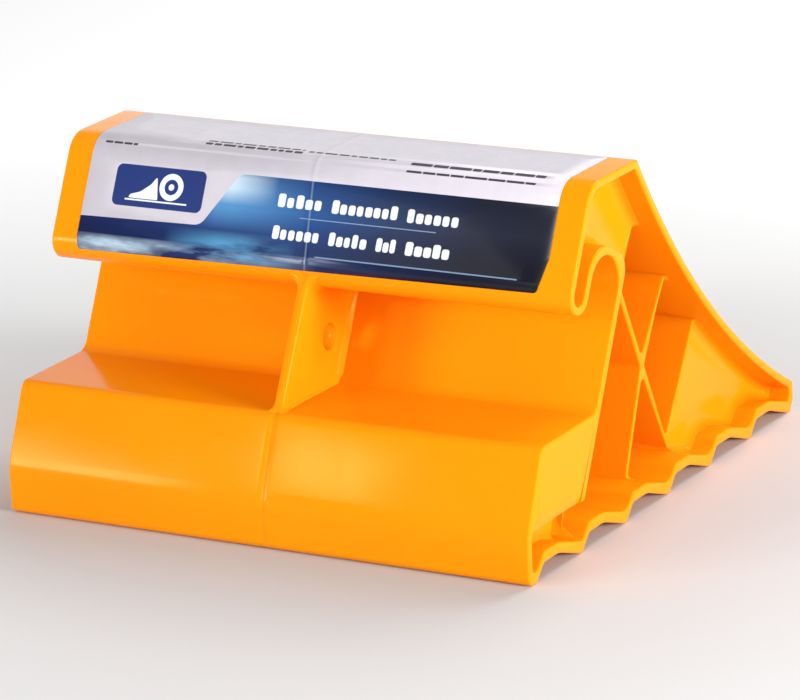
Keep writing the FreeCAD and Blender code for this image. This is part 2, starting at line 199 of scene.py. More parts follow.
def make_piece(name, vertices, faces, material, smooth=35.0, join=0.0):
    """A mesh piece in metres, smooth but for its sharp edges, that rides on the body.

    Points nearer to each other than join, in millimetres, become one."""
    mesh = bpy.data.meshes.new(name)
    mesh.from_pydata([tuple(float(c) * MM for c in v) for v in vertices], [], faces)
    mesh.validate()
    if join:
        edit = bmesh.new()
        edit.from_mesh(mesh)
        bmesh.ops.remove_doubles(edit, verts=edit.verts, dist=join * MM)
        edit.to_mesh(mesh)
        edit.free()
    mesh.polygons.foreach_set("use_smooth", [True] * len(mesh.polygons))
    mesh.set_sharp_from_angle(angle=math.radians(smooth))
    piece = bpy.data.objects.new(name, mesh)
    bpy.context.scene.collection.objects.link(piece)
    mesh.materials.append(material)
    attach(piece, "root")
    return piece


def weld(vertices, faces):
    """Join vertices that round to one place, and drop the faces that this closes."""
    index, unique, remap = {}, [], []
    for v in vertices:
        key = tuple(round(float(c), 4) for c in v)
        if key not in index:
            index[key] = len(unique)
            unique.append(key)
        remap.append(index[key])
    result = []
    for face in faces:
        loop = [remap[k] for k in face]
        loop = [k for i, k in enumerate(loop) if k != loop[i - 1]]
        if len(loop) > 2 and len(set(loop)) == len(loop):
            result.append(loop)
    return unique, result


def prism(outlines, half, rim=RIM, reshape=None, loose=(), soft=None):
    """Vertices and faces of the outlines drawn along X from -half to half, with rounded rims.

    The first outline is the outside, the rest are holes. reshape(x, points) gives the rim's own X,
    loose are more points for the end faces, and soft(points) is how much of the rounding each one gets."""
    loops = [turned(clean(o), anticlockwise=i == 0) for i, o in enumerate(outlines)]
    turns = [math.radians(a) for a in (0, 22.5, 45, 67.5, 90)]
    side = [(half - rim + rim * math.sin(t), rim * (1 - math.cos(t))) for t in turns]
    rings = [(-x, d) for x, d in reversed(side)] + side
    vertices, faces = [], []

    def drawn(loop, depth):
        return inset(loop, depth if soft is None else depth * soft(loop)[:, None])

    def place(x, points):
        xs = np.full(len(points), x) if reshape is None else reshape(x, points)
        vertices.extend((xx, p[0], p[1]) for xx, p in zip(xs, points))

    for x, depth in rings:
        for loop in loops:
            place(x, drawn(loop, depth))
    ring_size = sum(len(loop) for loop in loops)
    for r in range(len(rings) - 1):
        start = r * ring_size
        for loop in loops:
            n = len(loop)
            for k in range(n):
                a, b = start + k, start + (k + 1) % n
                faces.append((b, b + ring_size, a + ring_size, a))
            start += n
    flat, cap_faces = triangulate([drawn(loop, rim) for loop in loops], loose)
    for x, flip in ((-half, True), (half, False)):
        start = len(vertices)
        place(x, flat)
        faces += [tuple(start + k for k in (f[::-1] if flip else f)) for f in cap_faces]
    return weld(vertices, faces)


def near_points(outline, region, distances):
    """Points at set distances from an outline, on either side of it, that a region test keeps."""
    closed = np.vstack([outline, outline[:1]])
    length = np.concatenate([[0], np.cumsum(np.linalg.norm(np.diff(closed, axis=0), axis=1))])
    at = np.linspace(0, length[-1], int(length[-1] / 2.2), endpoint=False)
    even = np.stack([np.interp(at, length, closed[:, k]) for k in (0, 1)], axis=1)
    found = []
    for distance in distances:
        moved = inset(even, distance)
        moved = moved[distance_to(outline, moved) > abs(distance) - 0.08]
        found.append(moved[region(moved)])
    return np.vstack(found)


def cove(outline, radius, buried):
    """How far a fillet lifts a point that lies some distance from an outline, and fully where it is buried."""
    def rise(points):
        near = np.where(buried(points), radius, np.clip(radius - distance_to(outline, points), 0, radius))
        return radius - np.sqrt(np.maximum(radius ** 2 - near ** 2, 0))
    return rise


# ------------------------------------------------------------ outlines of this moulding

def sole_under():
    """The saw teeth from the lip to the toe, each steep behind and gently arched."""
    corners = [(-HALF_LENGTH, 0.0, 4.0)]
    for number in range(TEETH - 1):
        tip = FIRST_TOOTH + number * PITCH
        corners += [(tip, 0.0, 0.9), (tip + 5.0, TOOTH_DEPTH, 3.6), (tip + FALL_START, TOOTH_DEPTH, 14.0),
                    (tip + PITCH - 2.2, 0.0, 5.0)]
    last = FIRST_TOOTH + (TEETH - 1) * PITCH
    return corners + [(last + 0.4, 0.0, 0.9), (HALF_LENGTH, 3.4, 2.2)]


def sole_top_z(y):
    """The height of the sole's upper side."""
    at = (y - FIRST_TOOTH) % PITCH
    if y < FIRST_TOOTH or y > FIRST_TOOTH + (TEETH - 1) * PITCH:
        return SOLE
    return float(np.interp(at, [0, RISE_END, FALL_START, PITCH],
                           [SOLE, SOLE + TOOTH_DEPTH, SOLE + TOOTH_DEPTH, SOLE]))


def sole_over(low, high, corner):
    """The upper side of the sole between two places, from low y to high y; corner rounds its ends."""
    corners = [(low, sole_top_z(low), corner)]
    for number in range(TEETH):
        tip = FIRST_TOOTH + number * PITCH
        tooth = ((tip, SOLE, 6.0), (tip + RISE_END, SOLE + TOOTH_DEPTH, 5.0),
                 (tip + FALL_START, SOLE + TOOTH_DEPTH, 14.0))
        corners += [place for place in tooth if low + 1.5 < place[0] < high - 1.5]
    return [*corners, (high, sole_top_z(high), corner)]


def hook(depth):
    """The handle's corners from its top front to the far side of the channel, or a depth inside them."""
    r, c = BEND_RADIUS - depth, CHANNEL_RADIUS + depth
    top = HEIGHT - depth
    return [(face_y(top, depth), top, CORNER_RADIUS - depth),
            (*off(BEND, -r, -r), r), (*off(BEND, r, -r), r),
            (*off(CHANNEL, -c, c), c), (*off(CHANNEL, c, c), c)]


def ramp_points(low_z, high_z, radius, steps=26):
    """Down an arc of the ramp from a height to a lower one."""
    a = math.asin((TYRE[1] - high_z) / radius)
    b = math.asin((TYRE[1] - low_z) / radius)
    return [(TYRE[0] - radius * math.cos(t), TYRE[1] - radius * math.sin(t)) for t in np.linspace(a, b, steps)]


INSIDE = TYRE_RADIUS + WALL                              # the underside of the ramp
FOOT_Z = 8.0                                             # a height within the leaning wall's foot
FOOT_MARKS = (12.3, 13.5, 14.7, 16.0, 17.2, 18.2, 19.0, 19.8, 21.0)     # heights where its end is drawn in
TOE_TOP = ramp_z(HALF_LENGTH, TYRE_RADIUS)


def outside_outline():
    """The whole moulding seen from its end."""
    ramp = ramp_points(TOE_TOP, HEIGHT, TYRE_RADIUS)
    return rounded([*sole_under(), (*ramp[-1], 1.6), *[(*p, 0) for p in ramp[-2:0:-1]], (*ramp[0], 1.2), *hook(0.0),
                    (wall_y(STEP_HEIGHT), STEP_HEIGHT, 6.0), (SHELF_FRONT_Y, STEP_HEIGHT, 4.5),
                    (-HALF_LENGTH, LIP_TOP_Z, 18.0)])


def step_cell():
    """The hollow of the front step."""
    under = STEP_HEIGHT - WALL
    inner = WALL - HALF_LENGTH
    slope = (SHELF_FRONT_Y + HALF_LENGTH) / (STEP_HEIGHT - LIP_TOP_Z)
    crest_y = SHELF_FRONT_Y + WALL * math.hypot(1, slope)
    knee_z = STEP_HEIGHT - (crest_y - inner) / slope
    return rounded([(crest_y + slope * (under - STEP_HEIGHT), under, 2.2), (inner, knee_z, 6.0),
                    (inner, SOLE + 0.6, 2.0), *sole_over(inner + 1, wall_y(FOOT_Z), 3.0)[1:],
                    *[(wall_y(z), z, 0) for z in FOOT_MARKS], (wall_y(under), under, 2.2)])


def main_cavity():
    """Everything behind the leaning wall, handle included, as it is open at the rim."""
    ramp = ramp_points(13.5, HEIGHT - WALL, INSIDE)
    toe_y = HALF_LENGTH - WALL
    toe_z = ramp_z(toe_y, INSIDE)
    return rounded([*hook(WALL), (*off(CHANNEL, CHANNEL_RADIUS + WALL, -2.0), 0),
                    *[(wall_back_y(z), z, 0) for z in FOOT_MARKS[::-1]], *sole_over(wall_back_y(FOOT_Z), toe_y, 3.0),
                    (toe_y, toe_z, 0.8), *[(*p, 0) for p in ramp[:0:-1] if p[0] < toe_y - 3], (*ramp[0], 1.5)])


# ------------------------------------------------------------ ribs and the cells between them

HALF_RIB = RIB / 2 / math.cos(LEAN)
CROSS_Y, CROSS_Z = 5.8, 46.2
TOE_RIB_Y, TOE_RIB_Z = 33.0, 28.7
CELL_WALL_Y, CELL_WALL_Z = -8.3, 91.0
LEDGE_Z = 82.0
BITE = 0.25                                              # how far the cells run into the walls around them


def rising(z, side):
    """One face, -1 or 1, of the brace that rises towards the toe."""
    return CROSS_Y + 0.5 * (z - CROSS_Z) + side * HALF_RIB


def falling(z, side):
    """One face of the brace that falls towards the toe."""
    return CROSS_Y - 0.5 * (z - CROSS_Z) + side * HALF_RIB


def toe_rib(z, side):
    """One face of the rib in front of the toe's end walls."""
    return TOE_RIB_Y + 0.5 * (z - TOE_RIB_Z) + side * HALF_RIB


def cell_wall(z, side):
    """One face of the wall that closes the handle's hollow."""
    return CELL_WALL_Y + 0.5 * (z - CELL_WALL_Z) + side * HALF_RIB


def at_ramp(line, side):
    """The height where a rib's face meets the underside of the ramp."""
    low, high = 30.0, 125.0
    for _ in range(50):
        middle = (low + high) / 2
        if line(middle, side) < ramp_y(middle, INSIDE):
            low = middle
        else:
            high = middle
    return low


def under_ramp(low_z, high_z):
    """Along the underside of the ramp, from a height up to a higher one, ends left out."""
    return [(y, z, 0) for y, z in ramp_points(low_z, high_z, INSIDE - BITE, 8)[-2:0:-1]]


def floor_between(low, high):
    """Along the sole's upper side, just within it."""
    return [(y, z - BITE, r) for y, z, r in sole_over(low, high, 3.6)]


def cells():
    """The four open cells around the crossed braces, anticlockwise."""
    left = [(wall_back_y(LEDGE_Z) - BITE, LEDGE_Z, 1.8),
            *floor_between(wall_back_y(FOOT_Z) - BITE, rising(FOOT_Z, -1)), (rising(CROSS_Z, -1), CROSS_Z, 2.0),
            (falling(LEDGE_Z, -1), LEDGE_Z, 1.8)]
    low, high = at_ramp(rising, -1), at_ramp(cell_wall, 1)
    node_z = CROSS_Y + CROSS_Z / 2 - CELL_WALL_Y + CELL_WALL_Z / 2
    top = [(CROSS_Y, CROSS_Z + 2 * HALF_RIB, 2.0), (rising(low, -1), low, 1.0), *under_ramp(low, high),
           (cell_wall(high, 1), high, 1.0), (cell_wall(node_z, 1), node_z, 2.4)]
    low, high = at_ramp(toe_rib, -1), at_ramp(rising, 1)
    meet = CROSS_Y + CROSS_Z / 2 + 2 * HALF_RIB - TOE_RIB_Y + TOE_RIB_Z / 2
    right = [(falling(meet, 1), meet, 1.6), (toe_rib(low, -1), low, 1.0), *under_ramp(low, high),
             (rising(high, 1), high, 1.0), (rising(CROSS_Z, 1), CROSS_Z, 2.0)]
    bottom = [(CROSS_Y, CROSS_Z - 2 * HALF_RIB, 2.0), *floor_between(rising(FOOT_Z, 1), falling(FOOT_Z, -1))]
    return [rounded(c) for c in (left, top, right, bottom)]


# ------------------------------------------------------------ materials

LABEL_HALF, LABEL_BACK, LABEL_FOOT = 97.0, -34.6, 39.6   # its half width, and its ends measured down the wrap


def srgb(r, g, b):
    """A linear colour from its 0 to 255 values."""
    def linear(c):
        c /= 255
        return c / 12.92 if c <= 0.04045 else ((c + 0.055) / 1.055) ** 2.4
    return (linear(r), linear(g), linear(b), 1.0)


class Shader:
    """A small helper around one material's nodes."""

    def __init__(self, name):
        self.material = bpy.data.materials.new(name)
        self.material.use_nodes = True
        self.tree = self.material.node_tree
        self.bsdf = next(n for n in self.tree.nodes if n.type == "BSDF_PRINCIPLED")
        self.at = self.node("ShaderNodeTexCoord").outputs["Object"]

    def node(self, kind, **settings):
        made = self.tree.nodes.new(kind)
        for key, setting in settings.items():
            setattr(made, key, setting)
        return made

    def link(self, source, target):
        self.tree.links.new(source, target)

    def set(self, **values):
        for key, number in values.items():
            self.bsdf.inputs[key.replace("_", " ")].default_value = number

    def noise(self, scale, detail, stretch=(1, 1, 1), roughness=0.5):
        mapping = self.node("ShaderNodeMapping")
        mapping.inputs["Scale"].default_value = stretch
        self.link(self.at, mapping.inputs["Vector"])
        made = self.node("ShaderNodeTexNoise")
        made.inputs["Scale"].default_value = scale
        made.inputs["Detail"].default_value = detail
        made.inputs["Roughness"].default_value = roughness
        self.link(mapping.outputs["Vector"], made.inputs["Vector"])
        return made.outputs["Fac"]

    def ramp(self, source, stops):
        made = self.node("ShaderNodeValToRGB")
        elements = made.color_ramp.elements
        while len(elements) < len(stops):
            elements.new(0.5)
        for element, (position, colour) in zip(elements, stops):
            element.position = position
            element.color = colour if len(colour) == 4 else (*colour, 1.0)
        self.link(source, made.inputs["Fac"])
        return made.outputs["Color"]

    def span(self, source, low, high, to_low=0.0, to_high=1.0):
        made = self.node("ShaderNodeMapRange")
        for key, number in (("From Min", low), ("From Max", high), ("To Min", to_low), ("To Max", to_high)):
            made.inputs[key].default_value = number
        self.link(source, made.inputs["Value"])
        return made.outputs["Result"]

    def put(self, term, socket):
        """Give a socket a plain value or another node's output."""
        if isinstance(term, (int, float, tuple)):
            socket.default_value = term
        else:
            self.link(term, socket)

    def maths(self, operation, *terms):
        made = self.node("ShaderNodeMath", operation=operation)
        for slot, term in enumerate(terms):
            self.put(term, made.inputs[slot])
        return made.outputs["Value"]

    def times(self, a, b):
        return self.maths("MULTIPLY", a, b)

    def ridge(self, source, width):
        """One where the source is zero, and falling away smoothly on both sides."""
        return self.maths("EXPONENT", self.times(self.maths("POWER", self.times(source, 1 / width), 2.0), -1.0))

    def band(self, source, low, start, end, high):
        """One from start to end, and falling to zero at low and high."""
        return self.times(self.span(source, low, start), self.span(source, high, end))

    def mix(self, factor, a, b, blend="MIX"):
        made = self.node("ShaderNodeMix", data_type="RGBA", blend_type=blend)
        for key, term in (("Factor", factor), ("A", a), ("B", b)):
            self.put(term, next(i for i in made.inputs if i.name == key and i.type in ("VALUE", "RGBA") and i.enabled))
        return next(o for o in made.outputs if o.type == "RGBA" and o.enabled)

    def bump(self, height, strength, distance):
        made = self.node("ShaderNodeBump")
        made.inputs["Strength"].default_value = strength
        made.inputs["Distance"].default_value = distance
        self.link(height, made.inputs["Height"])
        previous = self.bsdf.inputs["Normal"]
        if previous.is_linked:
            self.link(previous.links[0].from_socket, made.inputs["Normal"])
        self.link(made.outputs["Normal"], previous)

    def axes(self):
        made = self.node("ShaderNodeSeparateXYZ")
        self.link(self.at, made.inputs["Vector"])
        return made.outputs["X"], made.outputs["Y"], made.outputs["Z"]


def moulded_plastic():
    """Satin yellow-orange plastic: a fine moulded grain, faint flow marks and a sink line at mid-width."""
    s = Shader("moulded_plastic")
    s.set(Roughness=0.17, Subsurface_Weight=0.15, Subsurface_Scale=0.004, Specular_IOR_Level=0.13)
    s.bsdf.inputs["Specular Tint"].default_value = (1.0, 0.62, 0.16, 1.0)
    s.bsdf.inputs["Subsurface Radius"].default_value = (1.0, 0.45, 0.08)
    flow = s.noise(9.0, 2.0, stretch=(1.0, 0.35, 1.0))
    s.link(s.ramp(flow, [(0.30, srgb(255, 148, 10)), (0.70, srgb(255, 155, 12))]), s.bsdf.inputs["Base Color"])
    s.link(s.span(s.noise(60.0, 3.0), 0.3, 0.7, 0.12, 0.18), s.bsdf.inputs["Roughness"])
    s.bump(s.noise(1400.0, 2.0), 0.06, 0.0001)
    s.bump(s.noise(26.0, 2.0, stretch=(0.5, 1.0, 1.0)), 0.12, 0.0006)
    x, y, _ = s.axes()
    front = s.span(y, -0.060, -0.066)
    s.bump(s.times(s.times(s.ridge(x, 1.3 * MM), front), -1.0), 0.9, 0.0004)
    return s.material


INK_LOW, INK_HIGH = 0.0953, 0.1313                       # heights of the label's face, metres


def printed(name, colour, roughness=0.28):
    """One flat ink of the label, under its clear film."""
    s = Shader(name)
    s.set(Roughness=roughness, Specular_IOR_Level=0.35)
    shade = s.ramp(s.noise(120.0, 2.0), [(0.3, tuple(c * 0.94 for c in colour[:3])), (0.7, colour)])
    s.link(shade, s.bsdf.inputs["Base Color"])
    film_relief(s)
    return s.material


def label_crease(s, width):
    """A narrow ridge that runs down the label, a little askew."""
    x, _, z = s.axes()
    return s.ridge(s.maths("ADD", x, s.span(z, INK_LOW, INK_HIGH, -0.5 * MM, 3.0 * MM)), width * MM)


def film_relief(s):
    """Soft waves of the stuck-down film, and the crease near its middle."""
    s.bump(s.noise(38.0, 2.0, stretch=(1.0, 1.0, 0.6)), 0.3, 0.0006)
    s.bump(label_crease(s, 1.0), 0.5, 0.0004)


def night_blue():
    """The label's dark field: blue with a pale glow on the left, nearly black on the right, and a painted highlight
    along its crease.
    """
    s = Shader("label_blue")
    s.set(Roughness=0.26, Specular_IOR_Level=0.3)
    x, _, z = s.axes()
    across = s.span(x, -LABEL_HALF * MM, LABEL_HALF * MM)
    base = s.ramp(across, [(0.0, srgb(22, 46, 110)), (0.28, srgb(16, 70, 146)), (0.48, srgb(30, 84, 150)),
                           (0.66, srgb(36, 56, 96)), (0.84, srgb(34, 38, 56)), (1.0, srgb(30, 31, 44))])
    down = s.span(z, INK_HIGH, INK_LOW)
    shade = s.ramp(down, [(0.20, (0.35, 0.4, 0.5)), (0.36, (0.7, 0.75, 0.8)), (0.52, (1, 1, 1)),
                          (0.70, (0.5, 0.5, 0.62)), (0.84, (0.3, 0.3, 0.42)), (1.0, (0.3, 0.3, 0.4))])
    dark = s.mix(1.0, base, shade, "MULTIPLY")
    cloud = s.span(s.noise(70.0, 4.0, stretch=(0.30, 1.0, 1.3), roughness=0.62), 0.38, 0.58)
    glow = s.times(s.band(x, -0.052, -0.040, -0.034, 0.000), s.band(z, 0.1040, 0.112, 0.118, 0.1270))
    lit = s.mix(s.times(glow, 0.7), dark, srgb(92, 160, 212))
    glint = s.times(s.band(x, -0.046, -0.040, -0.035, -0.016), s.band(z, 0.1130, 0.1185, 0.122, 0.1260))
    lit = s.mix(s.times(glint, 0.85), lit, srgb(212, 232, 244))
    mist = s.times(s.band(x, -0.120, -0.10, -0.080, 0.006), s.band(z, 0.0900, 0.0915, 0.0970, 0.0990))
    lit = s.mix(s.times(mist, cloud), lit, srgb(196, 222, 240))
    spray = s.times(s.band(x, -0.060, -0.038, -0.022, -0.004), s.band(z, 0.0930, 0.0960, 0.0995, 0.1045))
    lit = s.mix(s.times(s.times(spray, cloud), 0.9), lit, srgb(96, 172, 220))
    # painted highlight: a pale line along the film's crease
    lit = s.mix(s.times(label_crease(s, 0.35), 0.28), lit, srgb(190, 205, 225))
    s.link(lit, s.bsdf.inputs["Base Color"])
    film_relief(s)
    return s.material


# ------------------------------------------------------------ the moulding

PLASTIC = moulded_plastic()
OUTSIDE = clean(outside_outline())
CAVITY = clean(main_cavity())
STEP = clean(step_cell())
FOOT_TOP, FOOT_IN, FOOT_SLOPE = 19.0, 11.0, 0.61          # how the ends draw in above the sole
COVE = 4.5
FLUSH = 107.94                                           # the step ends' X, a hair inside the rims


def foot_draw(points):
    """How far the leaning wall's end draws in at its foot."""
    middle = wall_y(points[:, 1]) + WALL_DEPTH / 2
    beside = np.abs(points[:, 0] - middle) * math.cos(LEAN) - WALL / 2
    near = np.clip(1.0 - beside / 1.4, 0, 1)
    floor = np.array([sole_top_z(y) for y in points[:, 0]])
    above = np.clip((points[:, 1] - floor) / 0.35, 0, 1)
    return np.clip((FOOT_TOP - points[:, 1]) / FOOT_SLOPE, 0, FOOT_IN) * near * above


def make_shell():
    """The sole, ramp, lip, shelf, leaning wall and hooked handle, in one skin."""
    def reshape(x, points):
        return x - math.copysign(1, x) * foot_draw(points)

    def soft(points):
        return np.where((distance_to(STEP, points) < 0.01) & (points[:, 1] > FOOT_TOP - 1), 0.0, 1.0)

    wall_foot = np.array([(wall_y(z) + WALL_DEPTH * t, z)
                          for z in (6.9, 8.0, 9.2, 10.6, *FOOT_MARKS) for t in (0.25, 0.5, 0.75)])
    beside_wall = np.linspace(wall_y(6) - 1.5, wall_back_y(6) + 1.5, 9)
    floor_line = np.array([(y, sole_top_z(y) + rise) for y in beside_wall for rise in (-0.3, 0.0, 0.37)])
    wall_foot = np.vstack([wall_foot, floor_line[~contains(STEP, floor_line) & ~contains(CAVITY, floor_line)]])
    vertices, faces = prism([OUTSIDE, STEP, CAVITY], HALF_WIDTH, reshape=reshape, loose=wall_foot, soft=soft)
    shell = make_piece("moulded_shell", vertices, faces, PLASTIC, join=0.06)
    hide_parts("scalloped_sole", "tyre_ramp", "front_panel", "step_shelf", "back_wall", "handle_grip")


def make_inner_walls():
    """The crossed braces, the toe rib and the end walls of the sealed cells, set in from the rims."""
    rise = cove(CAVITY, COVE, lambda points: ~contains(CAVITY, points))
    holes = cells()

    def reshape(x, points):
        return x + math.copysign(1, x) * rise(points)

    def on_walls(points):
        kept = contains(CAVITY, points)
        for hole in holes:
            kept &= ~contains(hole, points) & (distance_to(hole, points) > RIM + 0.15)
        return kept

    def soft(points):
        return np.where(contains(CAVITY, points), np.clip(distance_to(CAVITY, points) / 1.2, 0, 1), 0.0)

    loose = near_points(CAVITY, on_walls, (0.12, 0.4, 0.8, 1.4, 2.2, 3.1, 4.4, 6.5))
    vertices, faces = prism([inset(CAVITY, -0.6), *holes], HALF_WIDTH - RECESS,
                            reshape=reshape, loose=loose, soft=soft)
    inner = make_piece("inner_walls", vertices, faces, PLASTIC, join=0.003)
    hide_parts("toe_rib", "handle_cell_wall", "rising_brace", "falling_brace", "handle_end_right",
                "handle_end_left", "toe_end_right", "toe_end_left")


def make_step_end(side, sign):
    """Flush with the end of the shelf, then drawn in at its foot with a cove onto the sole."""
    floor_line = np.array([(y, sole_top_z(y)) for y in np.linspace(-112, -60, 60)])

    def height(points):
        base = np.clip(FLUSH - (FOOT_TOP - points[:, 1]) / FOOT_SLOPE, HALF_WIDTH - FOOT_IN, FLUSH)
        gap = np.min(np.linalg.norm(points[:, None] - floor_line[None], axis=2), axis=1)
        near = np.clip(COVE - gap, 0, COVE)
        turn = 0.8 * np.exp(-((points[:, 1] - FOOT_TOP) / 2.6) ** 2)
        return base - turn + COVE - np.sqrt(np.maximum(COVE ** 2 - near ** 2, 0))

    outline = turned(STEP)
    grid = np.array([(y, z) for y in np.arange(-109, -52, 2.6) for z in np.arange(4.5, 45.5, 1.3)])
    flat, faces = triangulate([outline], grid[contains(inset(outline, 0.5), grid)])
    front = [(sign * x, y, z) for x, (y, z) in zip(height(flat), flat)]
    back = [(sign * (x - RIB), y, z) for x, (y, z) in zip(height(flat), flat)]
    count = len(flat)
    faces = [f if sign > 0 else f[::-1] for f in faces]
    shell = faces + [tuple(k + count for k in f[::-1]) for f in faces]
    uses = dict.fromkeys((a, b) for face in faces for a, b in zip(face, face[1:] + face[:1]))
    shell += [(b, a, a + count, b + count) for a, b in uses if (b, a) not in uses]
    end = make_piece(f"step_end_skin_{side}", front + back, shell, PLASTIC)
    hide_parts(f"step_end_{side}")


def make_gusset():
    """The web under the handle, flared where it meets the step and the hook, with the lanyard hole."""
    face_foot = face_y(STEP_HEIGHT)
    bite = 0.6                                           # how far it runs into the walls around it
    in_bend, past_channel = BEND_RADIUS - bite, CHANNEL_RADIUS + bite
    outline = rounded([(face_foot - 1.1, STEP_HEIGHT - 2.2, 0), (WALL_FOOT_Y + bite, STEP_HEIGHT - bite, 0),
                       (*off(CHANNEL, past_channel, 0), 0), (*off(CHANNEL, past_channel, past_channel), 11.0),
                       (*off(CHANNEL, -past_channel, past_channel), 11.0),
                       (*off(BEND, in_bend, 0), 0), (*off(BEND, in_bend, 3.0 - BEND_RADIUS), 0),
                       (*off(BEND, 0.0, -in_bend), 0), (*off(BEND, 1.6 - BEND_RADIUS, -2.0), 0)])
    # more points down the front edge, so that the flare stays near its ends
    top, drop = outline[-1], outline[0] - outline[-1]
    steps = np.array([0.6, 1.2, 1.8, 2.4, 3.0, 3.8, 4.8, 6.2, 8.0]) / np.linalg.norm(drop)
    outline = np.vstack([outline, [top + drop * t for t in (*steps, 0.4, 0.6, *(1 - steps[::-1]))]])
    turns = np.linspace(0, 2 * math.pi, 32, endpoint=False)
    hole = LANYARD_HOLE + LANYARD_RADIUS * np.stack([np.cos(turns), np.sin(turns)], axis=1)
    bend = np.array([off(BEND, BEND_RADIUS * math.cos(t), BEND_RADIUS * math.sin(t)) for t in turns])
    foot = cove(OUTSIDE, 2.6, lambda points: contains(OUTSIDE, points))
    head = cove(bend, 4.2, lambda points: contains(bend, points))

    def reshape(x, points):
        return x + math.copysign(1, x) * np.maximum(foot(points), head(points))

    def on_gusset(points):
        return contains(outline, points) & (distance_to(outline, points) > 2.1) & ~contains(hole, points) & \
            (distance_to(hole, points) > 1.0) & ~contains(OUTSIDE, points)

    def soft(points):
        free = np.clip(distance_to(OUTSIDE, points) / 1.5, 0, 1) * ~contains(OUTSIDE, points)
        return np.where(distance_to(hole, points) < 0.01, 0.35, free)

    loose = near_points(OUTSIDE, on_gusset, (-0.12, -0.4, -0.8, -1.2, -1.7, -2.6, -3.4, -4.4))
    vertices, faces = prism([outline, hole], GUSSET_HALF, rim=GUSSET_RIM, reshape=reshape, loose=loose, soft=soft)
    gusset = make_piece("gusset_skin", vertices, faces, PLASTIC, join=0.003)
    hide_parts("handle_gusset")


make_shell()
make_inner_walls()
for side, sign in (("right", 1), ("left", -1)):
    make_step_end(side, sign)
make_gusset()
for name in ("step_web", "handle_web", "toe_web", "brace_web"):
    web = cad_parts[name]
    for slot in web.material_slots:
        slot.material = PLASTIC


# ------------------------------------------------------------ the label

FILM, LIFT = 0.2, 0.25                                   # its thickness, and its outer face above the plastic
TOP_CORNER = np.array([face_y(HEIGHT), HEIGHT])
TURN = math.pi / 2 - LEAN
REACH = CORNER_RADIUS * math.tan(TURN / 2)
ARC = CORNER_RADIUS * TURN / 2                           # half of the label's run round the corner
BEND_LINES = (36.2, 37.4, 38.6, 39.8, 41.0)              # cuts across it, where it follows the handle's bend


def wrapped(s):
    """A point of the label's outer face at a distance s down from the middle of the top front corner."""
    centre = TOP_CORNER + np.array([REACH, -CORNER_RADIUS])
    if s < -ARC:
        return centre + np.array([-s - ARC, CORNER_RADIUS + LIFT])
    if s <= ARC:
        t = math.pi / 2 + (s + ARC) / CORNER_RADIUS
        return centre + (CORNER_RADIUS + LIFT) * np.array([math.cos(t), math.sin(t)])
    start = centre - CORNER_RADIUS * ACROSS
    straight = float((start - off(BEND, -BEND_RADIUS, 0)) @ ALONG)
    down = s - ARC
    if down <= straight:
        return start - down * ALONG - LIFT * ACROSS
    t = (down - straight) / BEND_RADIUS
    return off(BEND, -(BEND_RADIUS + LIFT) * math.cos(t), -(BEND_RADIUS + LIFT) * math.sin(t))


def box(x0, s0, x1, s1, r=0.0):
    """A rectangle of print, its corners rounded."""
    r = min(r, abs(x1 - x0) / 2, abs(s1 - s0) / 2)
    return rounded([(x0, s0, r), (x1, s0, r), (x1, s1, r), (x0, s1, r)], math.radians(22))


def disc(x, s, r):
    """A round spot of print."""
    t = np.linspace(0, 2 * math.pi, 28, endpoint=False)
    return np.stack([x + r * np.cos(t), s + r * np.sin(t)], axis=1)


def bars(x0, x1, s, tall, seed, word=(3.0, 8.0), gap=1.2):
    """A row of plain bars that stands in for a line of print."""
    rng = np.random.default_rng(seed)
    made, x = [], x0
    while x < x1 - 0.8:
        end = min(x1, x + rng.uniform(*word))
        made.append(box(x, s, end, s + tall, tall * 0.3))
        x = end + gap
    return made


def blocks(x0, x1, s, seed):
    """A word's worth of plain upright blocks on a line, short and tall ones mixed."""
    rng = np.random.default_rng(seed)
    count = max(3, round((x1 - x0) / 3.5))
    pitch = (x1 - x0) / count
    made = []
    for k in range(count):
        tall = 5.0 if k == 0 or rng.random() < 0.22 else 3.7
        start = x0 + k * pitch
        made.append(box(start, s - tall, start + pitch * rng.uniform(0.72, 0.84), s, 0.9))
    return made


